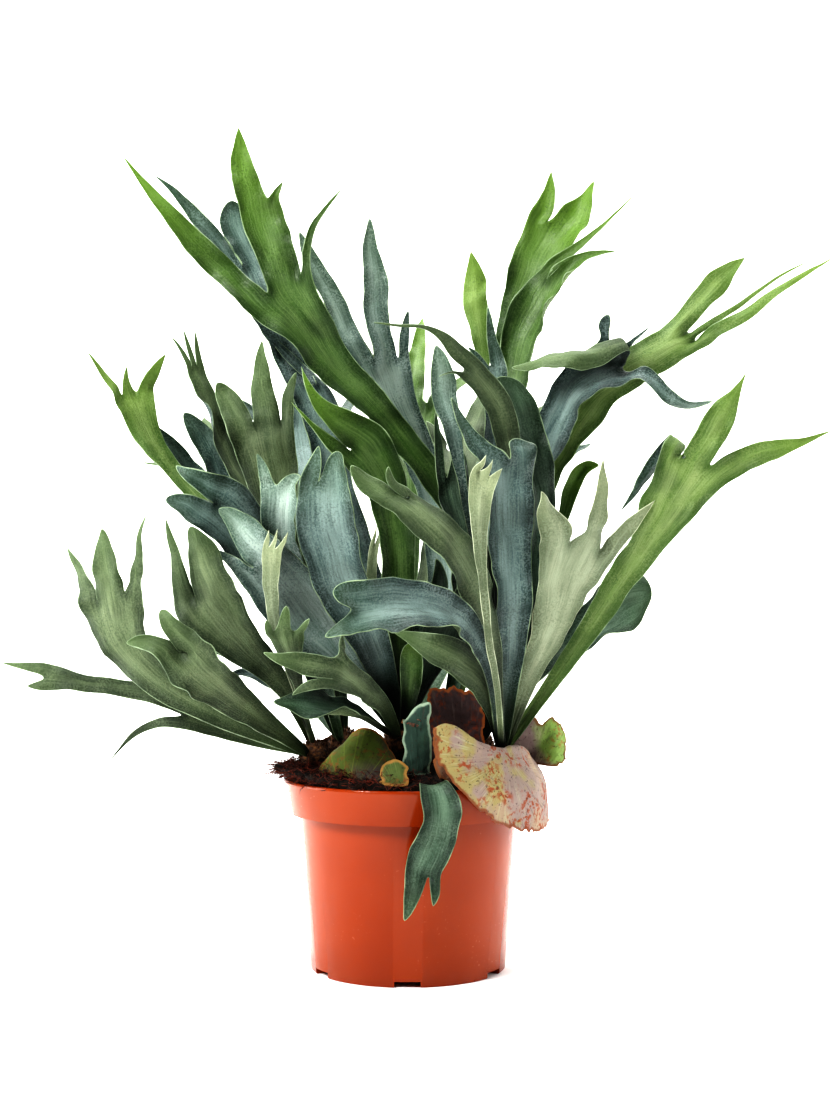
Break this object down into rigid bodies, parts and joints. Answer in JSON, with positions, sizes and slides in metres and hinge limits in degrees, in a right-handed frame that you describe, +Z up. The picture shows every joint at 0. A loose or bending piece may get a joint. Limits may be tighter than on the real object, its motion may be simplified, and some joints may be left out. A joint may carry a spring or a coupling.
{
  "type": "potted staghorn fern",
  "caption": "Staghorn fern with forked antler fronds, papery shield fronds, furry buds and compost, growing in a round tapered nursery pot.",
  "frame": {"origin": "middle of the pot's underside, on the floor", "axes": "+Z up along the pot's axis, -Y towards the viewer of the picture, +X to that viewer's right"},
  "size_m": [0.5688, 0.4306, 0.5754],
  "materials": {
    "pot_plastic": "terracotta-coloured moulded plastic, satin gloss",
    "compost": "dark fibrous compost with coir, matt; fabric stands in, as the list has no soil",
    "furry_bud": "brown furry scales on the rhizome, matt; fabric stands in for a plant surface",
    "frond": "leathery leaf, blue-grey bloom above and paler felt below; leather stands in for a leaf",
    "frond_young": "young leaf, pale and downy; leather stands in for a leaf",
    "shield_brown": "dry papery shield frond, grey-brown with ochre and rust; leather stands in",
    "shield_green": "living shield frond, olive green with a tan margin; leather stands in"
  },
  "bodies": {
    "root": {"pot": "pot_plastic", "root_ball": "compost", "rhizome": "furry_bud", "shield_apron": "shield_brown", "shield_dark_wall": "shield_brown", "shield_right_wall": "shield_brown", "shield_green_fold": "shield_green", "shield_left_dome": "shield_green", "shield_small_cup": "shield_green", "shield_back_left": "shield_brown", "shield_back_right": "shield_brown", "frond_hanging": "frond", "frond_cream_young": "frond_young", "frond_belly": "frond", "frond_under_belly": "frond", "frond_wing": "frond", "frond_flat_dark": "frond", "frond_spoon": "frond", "frond_olive_tall": "frond", "frond_low": "frond", "frond_lobed_small": "frond", "frond_toothed_young": "frond_young", "frond_olive_broad": "frond", "frond_bright_upright": "frond", "frond_sage_arch": "frond", "frond_dusky_front": "frond", "frond_dusky_middle": "frond", "frond_bloom_broad": "frond", "frond_silver_fold": "frond", "frond_claw": "frond", "frond_bright_middle": "frond", "frond_twin_young": "frond", "frond_inner_broad": "frond", "frond_pale_right": "frond", "frond_bright_right": "frond", "frond_curled_ribbon": "frond", "frond_dusky_inner": "frond", "frond_pale_leaf": "frond", "frond_shadow_front": "frond", "frond_dusky_upright": "frond", "frond_stag_grey": "frond", "frond_narrow_toothed": "frond", "frond_bright_tall": "frond", "frond_antler_left": "frond", "frond_oval_pair": "frond", "frond_over_right": "frond", "frond_long_right": "frond", "frond_bright_channel": "frond", "frond_pale_top": "frond", "frond_teardrop": "frond", "frond_dusky_tall": "frond", "frond_bloom_left": "frond", "frond_young_hook": "frond", "frond_round_dark": "frond", "frond_far_left": "frond", "frond_rear_1": "frond", "frond_rear_2": "frond", "frond_rear_3": "frond", "frond_rear_4": "frond", "frond_rear_5": "frond"}
  },
  "joints": []
}
